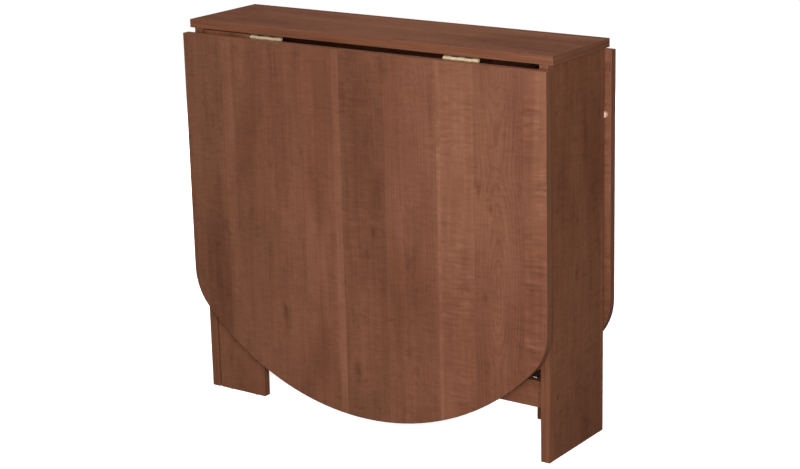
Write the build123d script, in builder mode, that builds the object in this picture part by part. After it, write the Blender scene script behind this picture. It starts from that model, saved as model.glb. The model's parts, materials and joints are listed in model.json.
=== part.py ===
from build123d import *

import os

os.makedirs("parts", exist_ok=True)

# A gateleg table, folded. X runs along the table, Y from front to back and Z up from the floor,
# with the origin on the floor below the middle of the top. Sizes are in millimetres.

# The table as a whole
TABLE_HEIGHT = 740.0
TABLE_WIDTH = 802.0
OPEN_LENGTH = 1600.0
TOP_DEPTH = 196.0
BOARD = 16.0
EASE = 0.8

# The carcass: two end panels, with an upper and a lower rail between them at the front and rear
PANEL_BOARD = 18.0
PANEL_DEPTH = 193.0
PANEL_OUTER_X = 391.0
RAIL_HEIGHT = 50.0
RAIL_MIDDLE_Y = 66.0
RAIL_LEVELS = {"upper": 635.0, "lower": 119.0}
GLIDE_STAND = 1.5

# The leaves: a rectangle whose outer end is one wide arc with rounded shoulders
LEAF_GAP_OPEN = 1.0
LEAF_INNER_Y = 104.0
LEAF_END_R = 508.0
LEAF_SHOULDER_R = 110.0

# The gates: a full-height leg board, two rails and a stile that hangs on the end panel
LEG_WIDTH = 111.0
LEG_OUTER_X = 369.8
GATE_FACE_Y = 95.7
GATE_TOP_CLEARANCE = 2.0
STILE_WIDTH = 60.0
GATE_FRAME_LOW = 175.0
GATE_FRAME_HIGH = 690.0
GATE_RAIL_HEIGHT = 70.0

# The leaf hinges, with three fixed and two moving knuckles
LEAF_HINGE_X = 216.5
LEAF_HINGE_LENGTH = 73.0
LEAF_HINGE_AXIS_Y = 98.0
LEAF_HINGE_STAND_OFF = 6.0
LEAF_HINGE_SHEET = 1.5
LEAF_HINGE_WIDTH = 33.0
LEAF_HINGE_KNUCKLE_R = 3.25
LEAF_HINGE_PIN_R = 1.6

# The gate hinges, small butt hinges between a stile and an end panel
GATE_HINGE_LENGTH = 60.0
GATE_HINGE_STAND_OFF = 1.2
GATE_HINGE_SHEET = 1.0
GATE_HINGE_WIDTH = 17.0
GATE_HINGE_KNUCKLE_R = 2.8
GATE_HINGE_PIN_R = 1.3
GATE_HINGE_AXIS_Y = 99.4
GATE_HINGE_ENDS = {"upper": 630.0, "lower": 235.0}

KNUCKLES = 5
KNUCKLE_GAP = 0.3
PIN_CLEARANCE = 0.05
PIN_HEAD_PROUD = 0.8
PIN_HEAD_EXTRA_R = 0.8

# Screws: head radius, shank radius, length to the point
LEAF_SCREW = (3.5, 1.75, 13.0)
GATE_SCREW = (2.75, 1.35, 11.0)
SCREW_POINT = 2.0
PILOT_CLEARANCE = 0.5
RECESS_WIDTH = 0.8
RECESS_DEPTH = 1.0

# Frame screws, which hold an end panel to the end of a rail
FRAME_SCREW_HEAD_R = 5.0
FRAME_SCREW_HEAD_HEIGHT = 3.0
FRAME_SCREW_SHANK_R = 3.5
FRAME_SCREW_LENGTH = 50.0
FRAME_SCREW_SUNK = 0.4
FRAME_SCREW_CLEARANCE = 0.2
SOCKET_R = 2.3
SOCKET_DEPTH = 2.4

# Dowels, cam fittings, glides and buffers
DOWEL_R = 4.0
DOWEL_CLEARANCE = 0.05
DOWEL_CHAMFER = 0.8
GATE_DOWEL_LENGTH = 40.0
GATE_DOWEL_SPREAD = 20.0
PANEL_DOWEL_LENGTH = 30.0
PANEL_DOWEL_IN_PANEL = 11.0
DOWEL_SPREAD = 15.0
CAM_R = 7.4
CAM_DEPTH = 12.5
CAM_SETBACK = 34.0
CAM_POCKET_CLEARANCE = 0.1
CAM_BOLT_R = 2.5
CAM_BOLT_HEAD_R = 3.2
CAM_BOLT_HEAD_LENGTH = 3.0
CAM_BOLT_HEAD_CLEARANCE = 0.3
CAM_BOLT_SLEEVE_R = 3.0
CAM_BOLT_IN_BOARD = 11.0
CAM_BORE_R = 3.9
CAM_TOP_Y = 60.0
CAM_RECESS_LENGTH = 9.0
CAM_RECESS_WIDTH = 1.6
CAM_RECESS_DEPTH = 2.5
GLIDE_R = 6.5
GLIDE_CHAMFER = 0.5
GLIDE_PIN_R = 1.2
GLIDE_PIN_LENGTH = 12.0
GLIDE_INSET = 24.0
BUFFER_R = 6.0
BUFFER_X = 388.0
BUFFER_Z = 600.0
BUFFER_CLEARANCE = 0.4
BUFFER_EDGE_R = 1.2

# Worked out from the sizes above
CARCASS_TOP = TABLE_HEIGHT - BOARD
HALF_WIDTH = TABLE_WIDTH / 2
HALF_TOP = TOP_DEPTH / 2
HALF_PANEL = PANEL_DEPTH / 2
PANEL_INNER_X = PANEL_OUTER_X - PANEL_BOARD
HINGE_AXIS_Z = CARCASS_TOP - LEAF_HINGE_STAND_OFF
LEAF_EDGE_Z = HINGE_AXIS_Z - LEAF_GAP_OPEN
LEAF_LENGTH = OPEN_LENGTH / 2 - HALF_TOP - LEAF_GAP_OPEN
GATE_BACK_Y = GATE_FACE_Y - BOARD
GATE_MIDDLE_Y = GATE_FACE_Y - BOARD / 2
LEG_INNER_X = LEG_OUTER_X - LEG_WIDTH
GATE_AXIS_X = PANEL_INNER_X - GATE_HINGE_STAND_OFF
STILE_OUTER_X = GATE_AXIS_X - GATE_HINGE_STAND_OFF
STILE_INNER_X = STILE_OUTER_X - STILE_WIDTH

UP = Vector(0, 0, 1)
DOWN = Vector(0, 0, -1)
RIGHT = Vector(1, 0, 0)
LEFT = Vector(-1, 0, 0)
BACK = Vector(0, 1, 0)
FRONT = Vector(0, -1, 0)
ON_BASE = (Align.CENTER, Align.CENTER, Align.MIN)

# The rear half is the front half turned half way round about Z. Everything that comes in a front
# and a rear copy is laid out for the front and placed through one of these planes.
SIDES = {"front": Plane.XY, "rear": Plane(origin=(0, 0, 0), x_dir=(-1, 0, 0), z_dir=(0, 0, 1))}


def placed(side, plane):
    """A plane laid out for the front, on the given side."""
    return Plane(side.location * plane.location)


def facing(side, point, direction):
    """A plane at a point laid out for the front, its normal along direction, on the given side."""
    return placed(side, Plane(origin=point, z_dir=direction))


def save(piece, label):
    """Names a finished piece and writes it."""
    piece.part.label = label
    export_step(piece.part, f"parts/{label}.step")


def make_board(side, low, high, holes=()):
    """A rectangular board between two corners, its edges eased, with round holes: each is a
    point, the direction that the drill goes in, a radius and a depth."""
    size = [top - bottom for bottom, top in zip(low, high)]
    middle = [(top + bottom) / 2 for bottom, top in zip(low, high)]
    with BuildPart() as board:
        with BuildSketch(placed(side, Plane(origin=(middle[0], middle[1], low[2])))):
            Rectangle(size[0], size[1])
        extrude(amount=size[2])
        fillet(board.edges(), EASE)
        for plane, radius, depth in holes:
            with Locations(plane):
                Cylinder(radius, depth, align=ON_BASE, mode=Mode.SUBTRACT)
    return board


# Hinges


def knuckle_spans(length):
    """The lowest and highest place of each knuckle along the hinge's axis."""
    each = (length - (KNUCKLES - 1) * KNUCKLE_GAP) / KNUCKLES
    starts = [-length / 2 + n * (each + KNUCKLE_GAP) for n in range(KNUCKLES)]
    return [(start, start + each) for start in starts]


def make_hinge_half(plane, length, spans, sizes, web, screws, screw):
    """One half of a hinge: a plate with screw holes, and knuckles rolled round the pin. The plane's
    origin is the middle of the axis, its X runs along the plate, its Y points at the board that
    the plate is screwed to, and its Z is the axis."""
    width, sheet, stand_off, knuckle_r, pin_r = sizes
    plate_start, web_start, web_end, web_low = web
    head_r, shank_r, _ = screw
    with BuildPart() as half:
        with BuildSketch(plane.offset(-length / 2)):
            with Locations((plate_start, stand_off - sheet)):
                Rectangle(width - plate_start, sheet, align=(Align.MIN, Align.MIN))
        extrude(amount=length)
        for low, high in spans:
            with BuildSketch(plane.offset(low)):
                Circle(knuckle_r)
                with Locations((web_start, web_low)):
                    Rectangle(web_end - web_start, stand_off - web_low, align=(Align.MIN, Align.MIN))
                Circle(pin_r + PIN_CLEARANCE, mode=Mode.SUBTRACT)
            extrude(amount=high - low)
        for along, across in screws:
            place = plane.from_local_coords(Vector(across, stand_off - sheet, along))
            with Locations(Plane(origin=place, z_dir=-plane.y_dir)):
                CounterSinkHole(shank_r + PILOT_CLEARANCE, head_r + PILOT_CLEARANCE / 2)
    return half


def make_pins(planes, length, pin_r):
    """Hinge pins with a flat head peened on at each end."""
    head = PIN_HEAD_PROUD - KNUCKLE_GAP
    head_place = (length + head) / 2 + KNUCKLE_GAP
    with BuildPart() as pins:
        with Locations(*planes):
            Cylinder(pin_r, length + 2 * PIN_HEAD_PROUD)
            with Locations((0, 0, head_place), (0, 0, -head_place)):
                Cylinder(pin_r + PIN_HEAD_EXTRA_R, head)
    return pins


def make_screws(planes, screw):
    """Countersunk screws with a cross recess. Each plane's origin is the middle of a head and its
    Z goes into the board."""
    head_r, shank_r, length = screw
    with BuildPart() as screws:
        with Locations(*planes):
            Cone(head_r, shank_r, head_r - shank_r, align=ON_BASE)
            Cylinder(shank_r, length - SCREW_POINT, align=ON_BASE)
            with Locations((0, 0, length - SCREW_POINT)):
                Cone(shank_r, shank_r / 6, SCREW_POINT, align=ON_BASE)
            Box(RECESS_WIDTH, head_r * 1.2, RECESS_DEPTH, align=ON_BASE, mode=Mode.SUBTRACT)
            Box(head_r * 1.2, RECESS_WIDTH, RECESS_DEPTH, align=ON_BASE, mode=Mode.SUBTRACT)
    return screws


def screw_planes(plane, screws, stand_off, sheet):
    """Where the screws of a hinge half go, as planes that point into the board."""
    places = [plane.from_local_coords(Vector(across, stand_off - sheet, along)) for along, across in screws]
    return [Plane(origin=place, z_dir=plane.y_dir) for place in places]


def pilot_holes(planes, screw):
    """The holes that a board needs for its screws."""
    _, shank_r, length = screw
    return [(plane, shank_r + PILOT_CLEARANCE, length + PILOT_CLEARANCE) for plane in planes]


LEAF_HINGE = (
    LEAF_HINGE_WIDTH,
    LEAF_HINGE_SHEET,
    LEAF_HINGE_STAND_OFF,
    LEAF_HINGE_KNUCKLE_R,
    LEAF_HINGE_PIN_R,
)
LEAF_WEB_START = LEAF_HINGE_KNUCKLE_R - LEAF_HINGE_SHEET
LEAF_WEB = (LEAF_WEB_START, LEAF_WEB_START, LEAF_HINGE_KNUCKLE_R, 0.0)
LEAF_SCREWS = ((-26.0, 20.0), (0.0, 26.0), (26.0, 20.0))
GATE_HINGE = (
    GATE_HINGE_WIDTH,
    GATE_HINGE_SHEET,
    GATE_HINGE_STAND_OFF,
    GATE_HINGE_KNUCKLE_R,
    GATE_HINGE_PIN_R,
)
GATE_PLATE_START = GATE_HINGE_KNUCKLE_R + KNUCKLE_GAP
GATE_WEB_START = 2.0
GATE_WEB_LOW = GATE_HINGE_STAND_OFF - GATE_HINGE_SHEET
GATE_WEB = (GATE_PLATE_START, GATE_WEB_START, GATE_PLATE_START, GATE_WEB_LOW)
GATE_SCREWS = ((-20.0, 11.0), (20.0, 11.0))


def leaf_hinge_planes(side, x):
    """The fixed and the moving half's planes of the leaf hinge at x."""
    axis = (x, -LEAF_HINGE_AXIS_Y, HINGE_AXIS_Z)
    fixed = placed(side, Plane(origin=axis, x_dir=BACK, z_dir=RIGHT))
    moving = placed(side, Plane(origin=axis, x_dir=DOWN, z_dir=LEFT))
    return fixed, moving


def gate_hinge_planes(side, z):
    """The fixed and the moving half's planes of the gate hinge at height z."""
    axis = (GATE_AXIS_X, -GATE_HINGE_AXIS_Y, z)
    fixed = placed(side, Plane(origin=axis, x_dir=BACK, z_dir=DOWN))
    moving = placed(side, Plane(origin=axis, x_dir=BACK, z_dir=UP))
    return fixed, moving


LEAF_HINGES = {
    (name, hand): leaf_hinge_planes(side, x)
    for name, side in SIDES.items()
    for hand, x in (("left", -LEAF_HINGE_X), ("right", LEAF_HINGE_X))
}
GATE_HINGES = {
    (name, level): gate_hinge_planes(side, z)
    for name, side in SIDES.items()
    for level, z in GATE_HINGE_ENDS.items()
}


def hinge_screws(hinges, wanted, half):
    """The screw planes of one half, 0 fixed or 1 moving, of each hinge that wanted() accepts."""
    leaf = hinges is LEAF_HINGES
    layout = LEAF_SCREWS if leaf else GATE_SCREWS
    stand_off = LEAF_HINGE_STAND_OFF if leaf else GATE_HINGE_STAND_OFF
    sheet = LEAF_HINGE_SHEET if leaf else GATE_HINGE_SHEET
    chosen = [planes[half] for key, planes in hinges.items() if wanted(key)]
    return [place for plane in chosen for place in screw_planes(plane, layout, stand_off, sheet)]


LEAF_SPANS = knuckle_spans(LEAF_HINGE_LENGTH)
GATE_SPANS = knuckle_spans(GATE_HINGE_LENGTH)

for (name, hand), (fixed, moving) in LEAF_HINGES.items():
    for kind, plane, spans in (("fixed", fixed, LEAF_SPANS[0::2]), ("moving", moving, LEAF_SPANS[1::2])):
        leaf_hinge_half = make_hinge_half(
            plane, LEAF_HINGE_LENGTH, spans, LEAF_HINGE, LEAF_WEB, LEAF_SCREWS, LEAF_SCREW
        )
        save(leaf_hinge_half, f"{name}_{hand}_hinge_{kind}")

for (name, level), (fixed, moving) in GATE_HINGES.items():
    for kind, plane, spans in (("fixed", fixed, GATE_SPANS[0::2]), ("moving", moving, GATE_SPANS[1::2])):
        gate_hinge_half = make_hinge_half(
            plane, GATE_HINGE_LENGTH, spans, GATE_HINGE, GATE_WEB, GATE_SCREWS, GATE_SCREW
        )
        save(gate_hinge_half, f"{name}_gate_{level}_hinge_{kind}")

for name in SIDES:
    leaf_axes = [planes[0] for key, planes in LEAF_HINGES.items() if key[0] == name]
    gate_axes = [planes[0] for key, planes in GATE_HINGES.items() if key[0] == name]
    save(make_pins(leaf_axes, LEAF_HINGE_LENGTH, LEAF_HINGE_PIN_R), f"{name}_leaf_hinge_pins")
    save(make_pins(gate_axes, GATE_HINGE_LENGTH, GATE_HINGE_PIN_R), f"{name}_gate_hinge_pins")

top_screws = hinge_screws(LEAF_HINGES, lambda key: True, 0)
save(make_screws(top_screws, LEAF_SCREW), "top_hinge_screws")
panel_screws = hinge_screws(GATE_HINGES, lambda key: True, 0)
save(make_screws(panel_screws, GATE_SCREW), "panel_hinge_screws")


# Dowels, cam fittings and glides


def make_dowels(planes, length):
    """Fluted beech dowels as plain cylinders with chamfered ends, centred on the planes."""
    with BuildPart() as dowels:
        with Locations(*planes):
            Cylinder(DOWEL_R, length)
        chamfer(dowels.edges().filter_by(GeomType.CIRCLE), DOWEL_CHAMFER)
    return dowels


def make_glides(planes):
    """Nail-on plastic glides. Each plane lies on a board's lower edge and points down."""
    with BuildPart() as glides:
        with Locations(*planes):
            Cylinder(GLIDE_R, GLIDE_STAND, align=ON_BASE)
        chamfer(glides.faces().sort_by(Axis.Z)[: len(planes)].edges(), GLIDE_CHAMFER)
        with Locations(*planes):
            with Locations((0, 0, -GLIDE_PIN_LENGTH)):
                Cylinder(GLIDE_PIN_R, GLIDE_PIN_LENGTH + GLIDE_STAND / 2, align=ON_BASE)
    return glides


def glide_holes(planes):
    """The holes for the glides' nails, going up into the board."""
    depth = GLIDE_PIN_LENGTH + PILOT_CLEARANCE
    return [(Plane(origin=plane.origin, z_dir=UP), GLIDE_PIN_R + PIN_CLEARANCE, depth) for plane in planes]


# A cam fitting pulls the edge of one board against the face of another. A fitting is the plane
# where they meet, pointing from the edge into the face, and the direction that the disc's pocket
# is drilled in.
CENTRE = SIDES["front"]
panel_middle_x = PANEL_OUTER_X - PANEL_BOARD / 2
CAMS = [
    (
        Plane(origin=(sign * panel_middle_x, y, CARCASS_TOP), z_dir=UP),
        Vector(sign, 0, 0),
        PANEL_BOARD / 2,
    )
    for sign in (-1, 1)
    for y in (-CAM_TOP_Y, CAM_TOP_Y)
]


def cam_pocket(cam):
    """The plane on the board's face where the disc's pocket starts, pointing into the board."""
    meeting, inward, half_board = cam
    place = meeting.origin - meeting.z_dir * CAM_SETBACK - inward * half_board
    return Plane(origin=place, z_dir=inward)


def cam_holes_edge(cam):
    """The holes in the board whose edge is pulled: the disc's pocket and the bolt's bore."""
    meeting, _, _ = cam
    bore = Plane(origin=meeting.origin, z_dir=-meeting.z_dir)
    return [
        (cam_pocket(cam), CAM_R + CAM_POCKET_CLEARANCE, CAM_DEPTH + CAM_POCKET_CLEARANCE),
        (bore, CAM_BORE_R, CAM_SETBACK),
    ]


def cam_hole_face(cam):
    """The hole for the bolt's sleeve in the board whose face it is screwed into."""
    meeting, _, _ = cam
    return (meeting, CAM_BOLT_SLEEVE_R + CAM_POCKET_CLEARANCE, CAM_BOLT_IN_BOARD + CAM_POCKET_CLEARANCE)


CAM_CAVITY_R = CAM_BOLT_HEAD_R + CAM_BOLT_HEAD_CLEARANCE

with BuildPart() as cam_discs:
    for cam in CAMS:
        pocket = cam_pocket(cam)
        meeting, _, _ = cam
        with Locations(pocket):
            Cylinder(CAM_R, CAM_DEPTH, align=ON_BASE)
        # The cavity that takes the bolt's head runs in from the board's edge, past the middle.
        with Locations(Plane(origin=meeting.origin, z_dir=-meeting.z_dir)):
            Cylinder(CAM_CAVITY_R, CAM_SETBACK + CAM_BOLT_HEAD_LENGTH, align=ON_BASE, mode=Mode.SUBTRACT)
        with Locations(pocket):
            for across, along in (
                (CAM_RECESS_WIDTH, CAM_RECESS_LENGTH),
                (CAM_RECESS_LENGTH, CAM_RECESS_WIDTH),
            ):
                Box(across, along, CAM_RECESS_DEPTH, align=ON_BASE, mode=Mode.SUBTRACT)
save(cam_discs, "cam_discs")

with BuildPart() as cam_bolts:
    for cam in CAMS:
        meeting, _, _ = cam
        with Locations(meeting):
            Cylinder(CAM_BOLT_SLEEVE_R, CAM_BOLT_IN_BOARD, align=ON_BASE)
        with Locations(Plane(origin=meeting.origin, z_dir=-meeting.z_dir)):
            Cylinder(CAM_BOLT_R, CAM_SETBACK, align=ON_BASE)
            with Locations((0, 0, CAM_SETBACK - CAM_BOLT_HEAD_LENGTH / 2)):
                Cylinder(CAM_BOLT_HEAD_R, CAM_BOLT_HEAD_LENGTH, align=ON_BASE)
save(cam_bolts, "cam_bolts")

# Each rail end has one frame screw at its middle, with a dowel above it and one below.
rail_ends = [
    (sign, y, z)
    for sign in (-1, 1)
    for y in (-RAIL_MIDDLE_Y, RAIL_MIDDLE_Y)
    for z in RAIL_LEVELS.values()
]
dowel_places = [
    (sign, y, z + lift) for sign, y, z in rail_ends for lift in (-DOWEL_SPREAD, DOWEL_SPREAD)
]
dowel_middle_x = PANEL_INNER_X + PANEL_DOWEL_IN_PANEL - PANEL_DOWEL_LENGTH / 2
carcass_dowels = make_dowels(
    [Plane(origin=(sign * dowel_middle_x, y, z), z_dir=RIGHT) for sign, y, z in dowel_places],
    PANEL_DOWEL_LENGTH,
)
save(carcass_dowels, "carcass_dowels")

frame_screw_head_x = PANEL_OUTER_X - FRAME_SCREW_SUNK
frame_screw_planes = [
    Plane(origin=(sign * frame_screw_head_x, y, z), z_dir=(-sign, 0, 0)) for sign, y, z in rail_ends
]
with BuildPart() as frame_screws:
    with Locations(*frame_screw_planes):
        Cylinder(FRAME_SCREW_HEAD_R, FRAME_SCREW_HEAD_HEIGHT, align=ON_BASE)
        Cylinder(FRAME_SCREW_SHANK_R, FRAME_SCREW_LENGTH - SCREW_POINT, align=ON_BASE)
        with Locations((0, 0, FRAME_SCREW_LENGTH - SCREW_POINT)):
            Cone(FRAME_SCREW_SHANK_R, FRAME_SCREW_SHANK_R / 2, SCREW_POINT, align=ON_BASE)
    for plane in frame_screw_planes:
        with BuildSketch(plane):
            RegularPolygon(SOCKET_R, 6)
        extrude(amount=SOCKET_DEPTH, mode=Mode.SUBTRACT)
save(frame_screws, "frame_screws")

panel_glide_planes = [
    Plane(origin=(sign * panel_middle_x, y, GLIDE_STAND), z_dir=DOWN)
    for sign in (-1, 1)
    for y in (-HALF_PANEL + GLIDE_INSET, HALF_PANEL - GLIDE_INSET)
]
save(make_glides(panel_glide_planes), "panel_glides")


# Carcass boards


def dowel_hole(place, direction, depth):
    """A dowel's hole from a place on a face."""
    return (Plane(origin=place, z_dir=direction), DOWEL_R + DOWEL_CLEARANCE, depth + PILOT_CLEARANCE)


def panel_screw_holes(sign, y, z):
    """A frame screw's holes in an end panel: one for its head and one for its shank."""
    outside = Plane(origin=(sign * PANEL_OUTER_X, y, z), z_dir=(-sign, 0, 0))
    head_depth = FRAME_SCREW_SUNK + FRAME_SCREW_HEAD_HEIGHT + FRAME_SCREW_CLEARANCE
    return [
        (outside, FRAME_SCREW_HEAD_R + FRAME_SCREW_CLEARANCE, head_depth),
        (outside, FRAME_SCREW_SHANK_R + FRAME_SCREW_CLEARANCE, PANEL_BOARD),
    ]


for hand, sign in (("left", -1), ("right", 1)):
    near_x, far_x = sorted((sign * PANEL_INNER_X, sign * PANEL_OUTER_X))
    outward = Vector(sign, 0, 0)
    holes = [hole for cam in CAMS if cam[1].X * sign > 0 for hole in cam_holes_edge(cam)]
    holes += [hole for end, y, z in rail_ends if end == sign for hole in panel_screw_holes(end, y, z)]
    holes += [
        dowel_hole((end * PANEL_INNER_X, y, z), outward, PANEL_DOWEL_IN_PANEL)
        for end, y, z in dowel_places
        if end == sign
    ]
    holes += pilot_holes([plane for plane in panel_screws if plane.z_dir.X * sign > 0], GATE_SCREW)
    holes += glide_holes([plane for plane in panel_glide_planes if plane.origin.X * sign > 0])
    end_panel = make_board(
        CENTRE, (near_x, -HALF_PANEL, GLIDE_STAND), (far_x, HALF_PANEL, CARCASS_TOP), holes
    )
    save(end_panel, f"{hand}_panel")


def rail_end_holes(sign, y, z):
    """The holes in one end of a rail, for its frame screw and its two dowels."""
    inward = Vector(-sign, 0, 0)
    screw_depth = FRAME_SCREW_LENGTH + FRAME_SCREW_SUNK - PANEL_BOARD + PILOT_CLEARANCE
    screw_start = Plane(origin=(sign * PANEL_INNER_X, y, z), z_dir=inward)
    in_rail = PANEL_DOWEL_LENGTH - PANEL_DOWEL_IN_PANEL
    return [(screw_start, FRAME_SCREW_SHANK_R + FRAME_SCREW_CLEARANCE, screw_depth)] + [
        dowel_hole((sign * PANEL_INNER_X, y, z + lift), inward, in_rail)
        for lift in (-DOWEL_SPREAD, DOWEL_SPREAD)
    ]


for name, y in (("front", -RAIL_MIDDLE_Y), ("rear", RAIL_MIDDLE_Y)):
    for level, z in RAIL_LEVELS.items():
        rail = make_board(
            CENTRE,
            (-PANEL_INNER_X, y - BOARD / 2, z - RAIL_HEIGHT / 2),
            (PANEL_INNER_X, y + BOARD / 2, z + RAIL_HEIGHT / 2),
            rail_end_holes(-1, y, z) + rail_end_holes(1, y, z),
        )
        save(rail, f"{name}_{level}_rail")

top_holes = [cam_hole_face(cam) for cam in CAMS] + pilot_holes(top_screws, LEAF_SCREW)
centre_top = make_board(
    CENTRE, (-HALF_WIDTH, -HALF_TOP, CARCASS_TOP), (HALF_WIDTH, HALF_TOP, TABLE_HEIGHT), top_holes
)
save(centre_top, "centre_top")


# Leaves

for name, side in SIDES.items():
    leaf_screws = hinge_screws(LEAF_HINGES, lambda key: key[0] == name, 1)
    leaf_plane = placed(side, Plane(origin=(0, -LEAF_INNER_Y, 0), x_dir=RIGHT, z_dir=FRONT))
    leaf_low_z = LEAF_EDGE_Z - LEAF_LENGTH
    with BuildPart() as leaf_board:
        with BuildSketch(leaf_plane) as outline:
            with Locations((0, leaf_low_z)):
                Rectangle(TABLE_WIDTH, LEAF_LENGTH, align=(Align.CENTER, Align.MIN))
            with Locations((0, leaf_low_z + LEAF_END_R)):
                Circle(LEAF_END_R, mode=Mode.INTERSECT)
            shoulders = outline.vertices().group_by(Axis.Y)[:-1]
            fillet([corner for level in shoulders for corner in level], LEAF_SHOULDER_R)
        extrude(amount=BOARD)
        fillet(leaf_board.edges(), EASE)
        for plane, radius, depth in pilot_holes(leaf_screws, LEAF_SCREW):
            with Locations(plane):
                Cylinder(radius, depth, align=ON_BASE, mode=Mode.SUBTRACT)
    save(leaf_board, f"{name}_leaf_board")
    save(make_screws(leaf_screws, LEAF_SCREW), f"{name}_leaf_screws")

    buffer_planes = [facing(side, (x, -LEAF_INNER_Y, BUFFER_Z), BACK) for x in (-BUFFER_X, BUFFER_X)]
    buffer_height = LEAF_INNER_Y - HALF_PANEL - BUFFER_CLEARANCE
    with BuildPart() as buffers:
        with Locations(*buffer_planes):
            Cylinder(BUFFER_R, buffer_height, align=ON_BASE)
        bearing_faces = buffers.faces().filter_by(Plane.XZ).sort_by(lambda face: abs(face.center().Y))[:2]
        fillet(bearing_faces.edges(), BUFFER_EDGE_R)
    save(buffers, f"{name}_leaf_buffers")


# Gates

GATE_RAILS = {"upper": GATE_FRAME_HIGH - GATE_RAIL_HEIGHT, "lower": GATE_FRAME_LOW}
GATE_DOWEL_LEVELS = [
    low + GATE_RAIL_HEIGHT / 2 + lift
    for low in GATE_RAILS.values()
    for lift in (-GATE_DOWEL_SPREAD, GATE_DOWEL_SPREAD)
]


def gate_dowel_holes(side, x, direction, levels):
    """Dowel holes at x in the middle of a gate's boards, on one side of a joint."""
    starts = [facing(side, (x, -GATE_MIDDLE_Y, z), direction) for z in levels]
    depth = GATE_DOWEL_LENGTH / 2 + PILOT_CLEARANCE
    return [(start, DOWEL_R + DOWEL_CLEARANCE, depth) for start in starts]


for name, side in SIDES.items():
    leg_glides = [
        facing(side, (x, -GATE_MIDDLE_Y, GLIDE_STAND), DOWN)
        for x in (-LEG_OUTER_X + GLIDE_INSET, -LEG_INNER_X - GLIDE_INSET)
    ]
    gate_leg = make_board(
        side,
        (-LEG_OUTER_X, -GATE_FACE_Y, GLIDE_STAND),
        (-LEG_INNER_X, -GATE_BACK_Y, CARCASS_TOP - GATE_TOP_CLEARANCE),
        gate_dowel_holes(side, -LEG_INNER_X, LEFT, GATE_DOWEL_LEVELS) + glide_holes(leg_glides),
    )
    save(gate_leg, f"{name}_gate_leg")
    save(make_glides(leg_glides), f"{name}_gate_glides")

    stile_screws = hinge_screws(GATE_HINGES, lambda key: key[0] == name, 1)
    gate_stile = make_board(
        side,
        (STILE_INNER_X, -GATE_FACE_Y, GATE_FRAME_LOW),
        (STILE_OUTER_X, -GATE_BACK_Y, GATE_FRAME_HIGH),
        gate_dowel_holes(side, STILE_INNER_X, RIGHT, GATE_DOWEL_LEVELS)
        + pilot_holes(stile_screws, GATE_SCREW),
    )
    save(gate_stile, f"{name}_gate_stile")
    save(make_screws(stile_screws, GATE_SCREW), f"{name}_gate_screws")

    for level, low_z in GATE_RAILS.items():
        rail_levels = [z for z in GATE_DOWEL_LEVELS if low_z < z < low_z + GATE_RAIL_HEIGHT]
        gate_rail = make_board(
            side,
            (-LEG_INNER_X, -GATE_FACE_Y, low_z),
            (STILE_INNER_X, -GATE_BACK_Y, low_z + GATE_RAIL_HEIGHT),
            gate_dowel_holes(side, -LEG_INNER_X, RIGHT, rail_levels)
            + gate_dowel_holes(side, STILE_INNER_X, LEFT, rail_levels),
        )
        save(gate_rail, f"{name}_gate_{level}_rail")

    gate_dowels = make_dowels(
        [
            facing(side, (x, -GATE_MIDDLE_Y, z), RIGHT)
            for x in (-LEG_INNER_X, STILE_INNER_X)
            for z in GATE_DOWEL_LEVELS
        ],
        GATE_DOWEL_LENGTH,
    )
    save(gate_dowels, f"{name}_gate_dowels")
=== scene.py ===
import json
import math

import bpy
from mathutils import Matrix, Vector


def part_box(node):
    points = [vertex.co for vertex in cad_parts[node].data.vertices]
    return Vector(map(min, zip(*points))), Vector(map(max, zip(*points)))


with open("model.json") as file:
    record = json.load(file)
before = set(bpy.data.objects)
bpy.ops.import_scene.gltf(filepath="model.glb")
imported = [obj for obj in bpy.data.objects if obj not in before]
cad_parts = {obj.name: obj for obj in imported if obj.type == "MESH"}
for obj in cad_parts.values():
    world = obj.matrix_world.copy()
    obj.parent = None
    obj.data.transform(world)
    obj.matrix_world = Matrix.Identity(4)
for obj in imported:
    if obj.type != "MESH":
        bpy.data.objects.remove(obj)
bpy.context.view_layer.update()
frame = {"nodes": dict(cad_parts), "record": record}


# Colours and node trees


def colour(red, green, blue):
    """A colour of 0 to 255 as it looks on a screen, as the linear numbers that shaders use."""
    parts = [part / 255 for part in (red, green, blue)]
    return [p / 12.92 if p <= 0.04045 else ((p + 0.055) / 1.055) ** 2.4 for p in parts] + [1.0]


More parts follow.
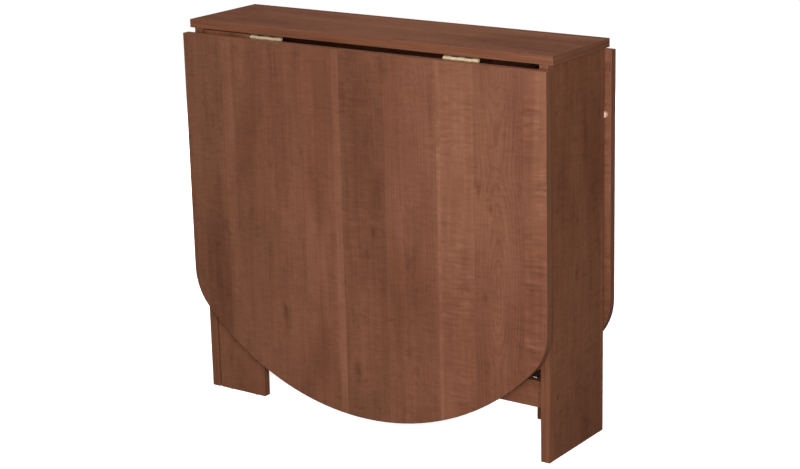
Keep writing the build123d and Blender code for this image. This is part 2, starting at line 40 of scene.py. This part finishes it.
class Finish:
    """A material and short calls for the nodes that it is made of. An input is a number, a
    vector or another node's output."""

    def __init__(self, name):
        self.material = bpy.data.materials.new(name)
        self.material.use_nodes = True
        self.tree = self.material.node_tree
        self.tree.nodes.clear()
        self.places = self.node("ShaderNodeTexCoord").outputs["Object"]

    def node(self, kind, inputs=None, **settings):
        made = self.tree.nodes.new(kind)
        for name, value in settings.items():
            setattr(made, name, value)
        for key, value in (inputs or {}).items():
            self.feed(made.inputs[key], value)
        return made

    def feed(self, socket, value):
        if isinstance(value, bpy.types.NodeSocket):
            self.tree.links.new(value, socket)
        else:
            socket.default_value = value

    def math(self, operation, *values, clamp=False):
        made = self.node("ShaderNodeMath", operation=operation, use_clamp=clamp)
        for socket, value in zip(made.inputs, values):
            self.feed(socket, value)
        return made.outputs[0]

    def add(self, *values):
        total = values[0]
        for value in values[1:]:
            total = self.math("ADD", total, value)
        return total

    def minus(self, value, other):
        return self.math("SUBTRACT", value, other)

    def scaled(self, value, factor):
        return self.math("MULTIPLY", value, factor)

    def length(self, x, y):
        """The length of a vector with two parts."""
        return self.math("SQRT", self.add(self.scaled(x, x), self.scaled(y, y)))

    def axes(self):
        split = self.node("ShaderNodeSeparateXYZ", {0: self.places})
        return split.outputs[0], split.outputs[1], split.outputs[2]

    def vector(self, x, y, z):
        return self.node("ShaderNodeCombineXYZ", {0: x, 1: y, 2: z}).outputs[0]

    def stretched(self, vector, x, y, z):
        made = self.node("ShaderNodeVectorMath", {0: vector, 1: (x, y, z)}, operation="MULTIPLY")
        return made.outputs[0]

    def noise(self, vector, scale=1.0, detail=2.0, roughness=0.5, distortion=0.0):
        inputs = {
            "Vector": vector,
            "Scale": scale,
            "Detail": detail,
            "Roughness": roughness,
            "Distortion": distortion,
        }
        return self.node("ShaderNodeTexNoise", inputs).outputs["Fac"]

    def grain(self, across, along, third, scales, detail, roughness=0.5, distortion=0.0):
        """Noise stretched along the grain. Scales are how often it changes in a metre across and
        along, and third sets one board or strip apart from the next."""
        place = self.vector(self.scaled(across, scales[0]), self.scaled(along, scales[1]), third)
        return self.noise(place, 1.0, detail, roughness, distortion)

    def centred(self, value, amount):
        """A value of 0 to 1 as one of -amount to amount."""
        return self.math("MULTIPLY_ADD", value, 2 * amount, -amount)

    def band(self, value, low, high):
        """0 below low, 1 above high, and smooth between them."""
        limits = {0: value, 1: low, 2: high}
        return self.node("ShaderNodeMapRange", limits, interpolation_type="SMOOTHSTEP").outputs[0]

    def ramp(self, value, stops, interpolation="LINEAR"):
        made = self.node("ShaderNodeValToRGB", {0: value})
        ramp = made.color_ramp
        ramp.interpolation = interpolation
        while len(ramp.elements) < len(stops):
            ramp.elements.new(1.0)
        for element, (place, shade) in zip(ramp.elements, stops):
            element.position = place
            element.color = shade
        return made.outputs[0]

    def mix(self, amount, first, second, blend="MIX"):
        made = self.node("ShaderNodeMix", data_type="RGBA", blend_type=blend)
        self.feed(made.inputs[0], amount)
        self.feed(made.inputs[6], first)
        self.feed(made.inputs[7], second)
        return made.outputs[2]

    def bump(self, height, strength, distance):
        inputs = {"Height": height, "Strength": strength, "Distance": distance}
        return self.node("ShaderNodeBump", inputs).outputs[0]

    def surface(self, **inputs):
        """Ends the tree with the shader. Its inputs are given by name, with _ for a space."""
        shader = self.node("ShaderNodeBsdfPrincipled")
        for name, value in inputs.items():
            self.feed(shader.inputs[name.replace("_", " ")], value)
        self.node("ShaderNodeOutputMaterial", {0: shader.outputs[0]})
        return self.material


X, Y, Z = 0, 1, 2

# Decor boards: one printed sheet of strips of wood, of which each board shows its own piece. Places
# on it are in metres, t across the strips and s along them.

SHEET_LOW = -0.45
SHEET_HIGH = 0.55
# Each strip: where it starts across the sheet, its tone, how strong its cross ripple is and how
# clearly its growth rings show.
STRIPS = (
    (-0.450, 0.40, 0.10, 0.15),
    (-0.395, 0.44, 0.10, 0.10),
    (-0.368, 0.40, 0.15, 0.25),
    (-0.311, 0.49, 0.15, 0.20),
    (-0.287, 0.46, 0.10, 0.45),
    (-0.124, 0.50, 0.10, 0.10),
    (-0.095, 0.47, 0.20, 0.10),
    (-0.052, 0.54, 0.15, 0.10),
    (-0.036, 0.40, 0.30, 0.25),
    (0.059, 0.45, 0.15, 0.60),
    (0.174, 0.57, 0.70, 0.10),
    (0.181, 0.51, 0.70, 0.15),
    (0.250, 0.46, 0.20, 1.00),
    (0.351, 0.48, 1.00, 0.10),
    (0.430, 0.42, 0.20, 0.30),
    (0.500, 0.48, 0.10, 0.40),
)
DECOR_TONES = (
    (0.00, colour(60, 30, 18)),
    (0.28, colour(99, 58, 38)),
    (0.50, colour(126, 79, 56)),
    (0.75, colour(149, 102, 79)),
    (1.00, colour(172, 127, 105)),
)
OLIVE = colour(106, 80, 50)
# A strip's noise starts from its middle times this, so that no two strips are alike.
STRIP_SEED = 37.0

# Each knot: its place across and along the sheet, and its radius
KNOTS = (
    (0.033, 0.384, 0.006),
    (-0.177, 0.194, 0.009),
    (-0.012, 0.112, 0.008),
    (0.288, 0.464, 0.005),
    (0.262, 0.500, 0.006),
    (0.275, 0.299, 0.006),
    (-0.205, 1.130, 0.007),
    (0.120, 0.930, 0.006),
)
# A knot is longer along the grain than across it, in the ratio 1 to KNOT_SQUEEZE. It pushes the
# grain aside by up to KNOT_PUSH of its radius, out to KNOT_REACH radii.
KNOT_SQUEEZE = 0.45
KNOT_REACH = 4
KNOT_PUSH = 0.8

# Growth rings: how many a metre, how sharp their dark edge is and how uneven they are, then how far
# in metres the trunk's axis dips through the board and wanders beside it. It dips as a cosine of
# ARCH_WAVE radians a metre. The clearest arches meet at ARCH_T, ARCH_S, and a strip a metre away
# has them ARCH_TURN radians further on.
RINGS_PER_METRE = 170.0
RING_SHARPNESS = 2.5
RING_UNEVENNESS = 1.5
TRUNK_DIP = 0.030
TRUNK_WANDER = 0.012
ARCH_T = 0.3005
ARCH_S = 0.52
ARCH_WAVE = 7.0
ARCH_TURN = 60.0

# How deep the pores of the decor and the edging look, in metres
BOARD_BUMP = 0.0002


def knots(m, s, t):
    """The knots' dark middles, their paler rims, and how far they push the grain aside."""
    dark = 0.0
    rims = 0.0
    aside = 0.0
    for knot_t, knot_s, radius in KNOTS:
        dt = m.minus(t, knot_t)
        ds = m.scaled(m.minus(s, knot_s), KNOT_SQUEEZE)
        reach = m.length(dt, ds)
        near = m.minus(1.0, m.band(reach, 0.0, radius * KNOT_REACH))
        core = m.minus(1.0, m.band(reach, 0.0, radius))
        dark = m.add(dark, core, m.scaled(near, 0.25))
        rims = m.add(rims, m.scaled(m.band(reach, radius * 0.8, radius * 1.8), near))
        side = m.math("DIVIDE", dt, m.add(m.math("ABSOLUTE", dt), radius / 2))
        aside = m.math("MULTIPLY_ADD", m.scaled(near, side), -radius * KNOT_PUSH, aside)
    return dark, rims, aside


def strip_ramp(m, t, shades):
    """A colour for each strip, by the place across the sheet."""
    width = SHEET_HIGH - SHEET_LOW
    place = m.scaled(m.minus(t, SHEET_LOW), 1 / width)
    stops = [((strip[0] - SHEET_LOW) / width, shade) for strip, shade in zip(STRIPS, shades)]
    return m.ramp(place, stops, "CONSTANT")


def strip_values(m, t):
    """The tone, ripple and rings of the strip at t, and where its middle is."""
    values = [(*strip[1:], 1.0) for strip in STRIPS]
    split = m.node("ShaderNodeSeparateColor", {0: strip_ramp(m, t, values)}).outputs
    starts = [strip[0] for strip in STRIPS]
    ends = starts[1:] + [SHEET_HIGH]
    middles = [((start + end) / 2 - SHEET_LOW,) * 3 + (1.0,) for start, end in zip(starts, ends)]
    return split[0], split[1], split[2], m.add(strip_ramp(m, t, middles), SHEET_LOW)


def growth_rings(m, s, t_grain, middle, seed):
    """Dark lines where the board cuts the rings of a trunk whose axis dips through it, which gives
    pointed arches."""
    drift = m.centred(m.noise(m.vector(seed, m.scaled(s, 2.0), 0.0), 1.0, 1.0), TRUNK_WANDER)
    off_centre = m.add(m.minus(t_grain, middle), drift)
    turn = m.math("MULTIPLY_ADD", middle, ARCH_TURN, -ARCH_T * ARCH_TURN)
    swing = m.math("COSINE", m.add(m.scaled(m.minus(s, ARCH_S), ARCH_WAVE), turn))
    dip_wave = m.noise(m.vector(seed, m.scaled(s, 4.0), 1.0), 1.0, 2.0)
    dip = m.add(m.scaled(swing, TRUNK_DIP), m.centred(dip_wave, TRUNK_DIP))
    radius = m.length(off_centre, dip)
    uneven = m.noise(m.vector(m.scaled(radius, 90.0), seed, m.scaled(s, 0.8)), 1.0, 1.0)
    count = m.add(m.scaled(radius, RINGS_PER_METRE), m.scaled(uneven, RING_UNEVENNESS))
    return m.math("POWER", m.math("FRACT", count), RING_SHARPNESS)


def cross_figure(m, s, t, seed, ripple):
    """Ripples across the grain that come and go."""
    slanted = m.math("MULTIPLY_ADD", t, -12.0, m.scaled(s, 160.0))
    waves = m.noise(m.vector(m.scaled(t, 24.0), slanted, seed), 1.0, 1.0)
    area = m.band(m.noise(m.vector(m.scaled(t, 20.0), m.scaled(s, 9.0), 8.0)), 0.38, 0.60)
    return m.scaled(m.scaled(m.centred(waves, 0.5), ripple), area)


def decor(name, along, across, shift_along=0.0, shift_across=0.0, gloss=0.25):
    """The face of a decor board. Along and across are the axes, 0 to 2, of its grain and of its
    width, and the shifts say which piece of the sheet it shows."""
    m = Finish(name)
    axes = m.axes()
    s = m.add(axes[along], shift_along)
    t = m.add(axes[across], shift_across)
    depth = axes[X + Y + Z - along - across]

    dark, rims, aside = knots(m, s, t)
    wander = m.grain(t, s, depth, (3.0, 4.0), 2.0)
    t_grain = m.add(t, m.centred(wander, 0.006), aside)
    tone, ripple, rings, middle = strip_values(m, t)
    seed = m.scaled(middle, STRIP_SEED)

    fine = m.grain(t_grain, s, seed, (280.0, 7.0), 3.0)
    streaks = m.grain(t_grain, s, seed, (85.0, 6.0), 2.0)
    broad = m.grain(t_grain, s, seed, (20.0, 6.0), 2.0)
    fibres = m.grain(t_grain, s, depth, (1500.0, 40.0), 2.0, 0.6)
    curl = m.grain(t, s, seed, (45.0, 230.0), 2.0, distortion=0.5)
    clouds = m.grain(t, s, 3.0, (30.0, 15.0), 3.0, 0.6)
    smudges = m.grain(t, s, 12.0, (42.0, 70.0), 2.0, distortion=0.6)
    warmth = m.grain(t, s, 5.0, (9.0, 2.5), 1.0)
    pore = m.band(m.grain(t_grain, s, depth, (2400.0, 130.0), 1.0), 0.66, 0.74)

    level = m.add(
        tone,
        m.centred(fine, 0.08),
        m.centred(streaks, 0.08),
        m.centred(broad, 0.09),
        m.scaled(m.band(clouds, 0.50, 0.74), -0.06),
        m.scaled(m.band(smudges, 0.56, 0.74), -0.06),
        m.centred(fibres, 0.07),
        m.scaled(m.scaled(growth_rings(m, s, t_grain, middle, seed), rings), -0.10),
        m.scaled(cross_figure(m, s, t, seed, ripple), 0.50),
        m.centred(curl, 0.09),
        m.scaled(pore, -0.06),
        m.scaled(dark, -0.10),
        m.scaled(rims, 0.07),
    )
    shade = m.ramp(level, DECOR_TONES)
    rough = m.add(0.52, m.centred(fibres, 0.05), m.scaled(pore, 0.12), m.centred(broad, 0.04))
    height = m.add(m.scaled(fibres, 0.5), m.scaled(pore, -0.8), m.scaled(streaks, 0.3))
    return m.surface(
        Base_Color=m.mix(m.scaled(m.band(warmth, 0.40, 0.70), 0.35), shade, OLIVE, "SOFT_LIGHT"),
        Roughness=rough,
        Normal=m.bump(height, 0.25, BOARD_BUMP),
        Specular_IOR_Level=gloss,
    )


def edging(name, thickness):
    """The band glued round a board's edges: fine straight lines that run along the edge, whichever
    way it turns. Thickness is the axis, 0 to 2, across the board."""
    m = Finish(name)
    fine = [14.0, 14.0, 14.0]
    fine[thickness] = 900.0
    wide = [5.0, 5.0, 5.0]
    wide[thickness] = 150.0
    lines = m.noise(m.stretched(m.places, *fine), 1.0, 3.0, 0.6)
    bands = m.noise(m.stretched(m.places, *wide), 1.0, 2.0, 0.5)
    level = m.add(0.39, m.centred(lines, 0.22), m.centred(bands, 0.16))
    return m.surface(
        Base_Color=m.ramp(level, DECOR_TONES),
        Roughness=m.add(0.45, m.centred(lines, 0.06)),
        Normal=m.bump(lines, 0.2, BOARD_BUMP),
        Specular_IOR_Level=0.25,
    )


# Metal, plastic and beech

# Painted shade on a leaf hinge: a dark brown band along the top of the knuckles that stands for the
# dark shade in the gap under the top board. How far down from the top board and in from the
# knuckles it reaches, and how far it fades, in metres
PAINTED_SHADE_DOWN = 0.0030
PAINTED_SHADE_IN = 0.0070
PAINTED_SHADE_FADE = 0.0010
PAINTED_SHADE_COLOUR = colour(40, 24, 14)


def plated(name, clear, dull, roughness, metallic=1.0, corner=None):
    """Plated metal: drawn along by polishing, with dull clouds and fine scratches. Where a corner
    is given, painted shade darkens it above a height and beyond a distance from the table's middle
    plane, for the shade under the top board."""
    m = Finish(name)
    clouds = m.noise(m.places, 160.0, 4.0, 0.6)
    grit = m.noise(m.stretched(m.places, 250.0, 2500.0, 2500.0), 1.0, 2.0)
    scratch = m.band(m.noise(m.stretched(m.places, 120.0, 4000.0, 1600.0), 1.0, 0.0), 0.68, 0.76)
    tone = m.add(m.scaled(m.band(clouds, 0.4, 0.7), 0.6), m.centred(grit, 0.25))
    rough = m.add(roughness, m.centred(clouds, 0.08), m.scaled(scratch, 0.1), m.centred(grit, 0.06))
    base = m.mix(tone, clear, dull)
    # Painted shade: the metal's top, beyond a distance from the middle plane, is darkened towards a
    # dark brown
    if corner:
        _, across, up = m.axes()
        height, distance = corner
        out = m.band(m.math("ABSOLUTE", across), distance - PAINTED_SHADE_FADE, distance)
        painted_shade = m.math("MULTIPLY", out, m.band(up, height, height + PAINTED_SHADE_FADE))
        base = m.mix(m.scaled(painted_shade, 0.9), base, PAINTED_SHADE_COLOUR)
    return m.surface(
        Base_Color=base,
        Metallic=metallic,
        Roughness=rough,
        Normal=m.bump(m.math("SUBTRACT", grit, scratch), 0.15, 0.0001),
    )


def beech(name):
    """Bare beech with short rays."""
    m = Finish(name)
    grain = m.noise(m.stretched(m.places, 40.0, 900.0, 900.0), 1.0, 3.0)
    rays = m.band(m.noise(m.stretched(m.places, 300.0, 1500.0, 1500.0), 1.0, 1.0), 0.6, 0.7)
    level = m.add(0.5, m.centred(grain, 0.35), m.scaled(rays, -0.3))
    shades = (
        (0.0, colour(160, 112, 72)),
        (0.5, colour(201, 158, 112)),
        (1.0, colour(222, 186, 142)),
    )
    return m.surface(
        Base_Color=m.ramp(level, shades),
        Roughness=m.add(0.6, m.centred(grain, 0.1)),
        Normal=m.bump(grain, 0.3, 0.0003),
    )


def moulded(name, shade, worn, roughness, **more):
    """Moulded plastic or rubber with a fine spark-eroded grain and scuffs."""
    m = Finish(name)
    grain = m.noise(m.places, 2600.0, 2.0)
    scuffs = m.band(m.noise(m.stretched(m.places, 300.0, 300.0, 90.0), 1.0, 3.0), 0.52, 0.7)
    return m.surface(
        Base_Color=m.mix(m.scaled(scuffs, 0.5), shade, worn),
        Roughness=m.add(roughness, m.centred(grain, 0.08), m.scaled(scuffs, 0.1)),
        Normal=m.bump(grain, 0.2, 0.0001),
        **more,
    )


# Which finish each piece gets

hinge_low, hinge_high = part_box("front_left_hinge_fixed")
LEAF_FACE = decor("leaf_decor", Z, X, gloss=0.4)
REAR_LEAF_FACE = decor("rear_leaf_decor", Z, X, 0.02, 0.03, gloss=0.4)
TOP_FACE = decor("top_decor", X, Y, 1.05, -0.12, gloss=0.12)
PANEL_FACE = decor("panel_decor", Z, Y, 0.8, -0.205, gloss=0.15)
UPRIGHT_FACE = decor("upright_decor", Z, X, 0.9, 0.12)
RAIL_FACE = decor("rail_decor", X, Z, 0.7, -0.35)
EDGING = {
    X: edging("edging_panel", X),
    Y: edging("edging_upright", Y),
    Z: edging("edging_top", Z),
}
FINISHES = {
    "brass": plated(
        "brass_plate",
        colour(228, 206, 170),
        colour(200, 176, 138),
        0.42,
        0.55,
        # where the painted shade under the top board starts on the hinges
        (hinge_high.z - PAINTED_SHADE_DOWN, abs(hinge_low.y) - PAINTED_SHADE_IN),
    ),
    "steel": plated("zinc_plate", colour(172, 172, 172), colour(128, 127, 124), 0.5),
    "zinc": plated("cast_zinc", colour(150, 150, 152), colour(112, 112, 110), 0.5),
    "dark_steel": plated("brown_plate", colour(108, 66, 48), colour(84, 50, 36), 0.6, 0.2),
    "beech": beech("beech"),
    "glide": moulded("brown_plastic", colour(62, 42, 31), colour(98, 76, 62), 0.5),
    "buffer": moulded(
        "soft_buffer",
        colour(226, 188, 170),
        colour(200, 158, 140),
        0.32,
        Subsurface_Weight=0.25,
        Subsurface_Radius=(0.004, 0.002, 0.0015),
        Subsurface_Scale=0.6,
    ),
}


def face_of(node):
    """The decor of a board's faces, and the axis across its thickness."""
    if node.endswith("leaf_board"):
        return (LEAF_FACE if node.startswith("front") else REAR_LEAF_FACE), Y
    if node == "centre_top":
        return TOP_FACE, Z
    if node.endswith("panel"):
        return PANEL_FACE, X
    if node.endswith("rail"):
        return RAIL_FACE, Y
    return UPRIGHT_FACE, Y


# A polygon is on a board's face if its normal lies along the thickness by more than this.
FACE_LIMIT = 0.85


def dress_board(board, face, thickness):
    """Decor on a board's faces and edging round its sides."""
    board.data.materials.clear()
    board.data.materials.append(face)
    board.data.materials.append(EDGING[thickness])
    for polygon in board.data.polygons:
        polygon.material_index = 0 if abs(polygon.normal[thickness]) > FACE_LIMIT else 1


SLOTS = {row["node"]: row["material_slot"] for row in frame["record"]["subparts"]}
for node, piece in frame["nodes"].items():
    slot = SLOTS[node]
    if slot == "board":
        dress_board(piece, *face_of(node))
    else:
        piece.data.materials.clear()
        piece.data.materials.append(FINISHES[slot])


# Floor, light and camera


FLOOR_SIZE = 34.0
FLOOR_GLOW = 0.90
DOME_RADIUS = 18.0
DOME_GLOW = 1.0


def stage_surface(name, low, high, glow):
    """A pale matt studio surface with a little unevenness."""
    m = Finish(name)
    tone = m.mix(m.noise(m.places, 0.8, 3.0), low, high)
    return m.surface(Base_Color=tone, Roughness=0.9, Emission_Color=tone, Emission_Strength=glow)


def make_studio():
    """A pale floor and a pale dome round it. They don't throw light back at the table, which keeps
    its undersides as dark as black flags round a studio set would."""
    bpy.ops.mesh.primitive_plane_add(size=FLOOR_SIZE, location=(0, 0, 0))
    floor = bpy.context.object
    floor.name = "studio_floor"
    paint = stage_surface("floor", colour(250, 250, 249), colour(247, 247, 246), FLOOR_GLOW)
    floor.data.materials.append(paint)
    bpy.ops.mesh.primitive_uv_sphere_add(radius=DOME_RADIUS, segments=64, ring_count=32)
    dome = bpy.context.object
    dome.name = "studio_dome"
    paint = stage_surface("dome", colour(253, 253, 253), colour(251, 251, 251), DOME_GLOW)
    dome.data.materials.append(paint)
    dome.visible_shadow = False
    for piece in (floor, dome):
        piece.visible_diffuse = False
        piece.visible_glossy = False


def make_light(name, place, target, size, power):
    """A soft square white light at place, turned to target."""
    lamp = bpy.data.lights.new(name, "AREA")
    lamp.size = size
    lamp.energy = power
    made = bpy.data.objects.new(name, lamp)
    bpy.context.scene.collection.objects.link(made)
    made.location = place
    made.rotation_euler = (Vector(target) - Vector(place)).to_track_quat("-Z", "Y").to_euler()


def make_world(strength):
    """Even light from all round."""
    world = bpy.data.worlds.new("studio")
    world.use_nodes = True
    background = world.node_tree.nodes["Background"]
    background.inputs["Color"].default_value = (1.0, 1.0, 1.0, 1.0)
    background.inputs["Strength"].default_value = strength
    bpy.context.scene.world = world


SENSOR_WIDTH = 36.0


def make_camera(place, yaw, pitch, roll, lens, shift):
    """The camera. Yaw turns it left from looking along +Y, pitch turns it down and roll leans it,
    all in degrees."""
    yaw, pitch, roll = (math.radians(angle) for angle in (yaw, pitch, roll))
    ahead = Vector((-math.sin(yaw), math.cos(yaw), 0))
    forward = ahead * math.cos(pitch) - Vector((0, 0, math.sin(pitch)))
    level = Vector((math.cos(yaw), math.sin(yaw), 0))
    upright = level.cross(forward)
    right = math.cos(roll) * level + math.sin(roll) * upright
    up = -math.sin(roll) * level + math.cos(roll) * upright
    data = bpy.data.cameras.new("camera")
    data.sensor_width = SENSOR_WIDTH
    data.lens = lens
    data.shift_x, data.shift_y = shift
    made = bpy.data.objects.new("camera", data)
    bpy.context.scene.collection.objects.link(made)
    turn = Matrix((right, up, -forward)).transposed().to_4x4()
    made.matrix_world = Matrix.Translation(place) @ turn
    bpy.context.scene.camera = made


make_studio()
make_world(0.15)
make_light("key", (1.35, -1.75, 0.92), (0.1, 0, 0.42), 0.9, 50)
make_light("front", (-0.7, -3.0, 1.8), (-0.2, 0, 0.4), 1.4, 25)
make_light("above", (-0.1, 0.2, 2.6), (0, 0, 0.7), 1.0, 24)
make_light("rear", (-1.7, 2.4, 0.5), (0, 0, 0.4), 0.45, 48)
make_camera((2.0724, -2.9069, 1.3687), 34.982, 15.616, -1.311, 88.66, (-0.0163, -0.016))
bpy.context.scene.view_settings.view_transform = "Standard"
